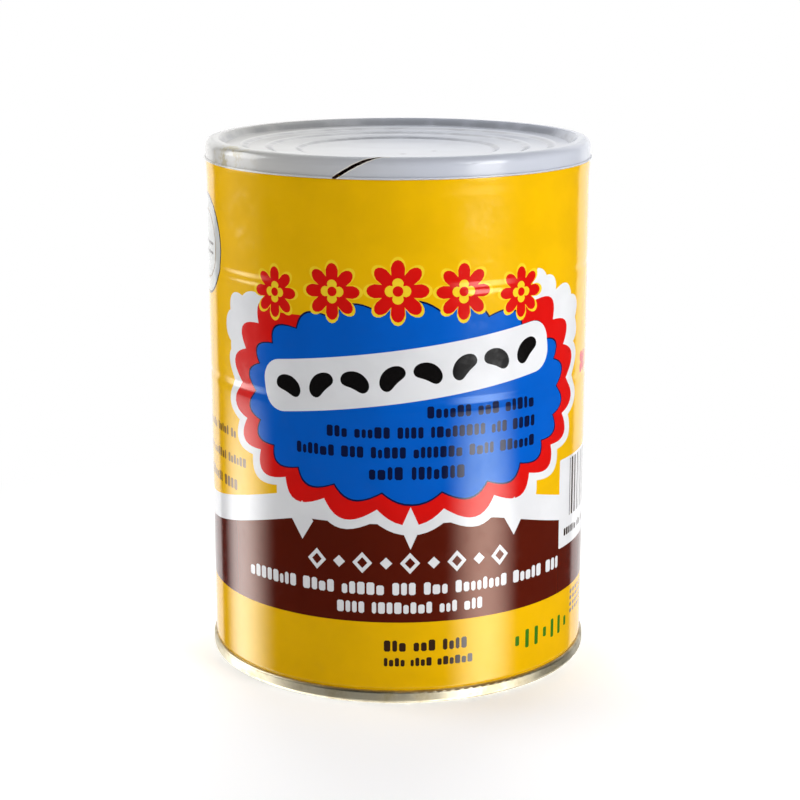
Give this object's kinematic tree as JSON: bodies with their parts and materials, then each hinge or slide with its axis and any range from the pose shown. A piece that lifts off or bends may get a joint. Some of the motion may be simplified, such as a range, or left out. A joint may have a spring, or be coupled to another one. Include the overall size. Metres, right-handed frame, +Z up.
{
  "type": "can of fermented black beans",
  "caption": "Shut round food can with a printed steel wall, seamed tinplate ends and a cracked white press-on plastic cap.",
  "frame": {"origin": "centre of the can on the surface that it stands on", "axes": "+Z up along the can's axis, front of the label towards -Y"},
  "size_m": [0.0846, 0.0846, 0.1152],
  "materials": {
    "printed_steel": "gloss",
    "tinplate": "satin",
    "cap_plastic": "gloss"
  },
  "bodies": {
    "root": {"can_body": "printed_steel", "bottom_end": "tinplate", "top_end": "tinplate", "overcap": "cap_plastic"}
  },
  "joints": []
}
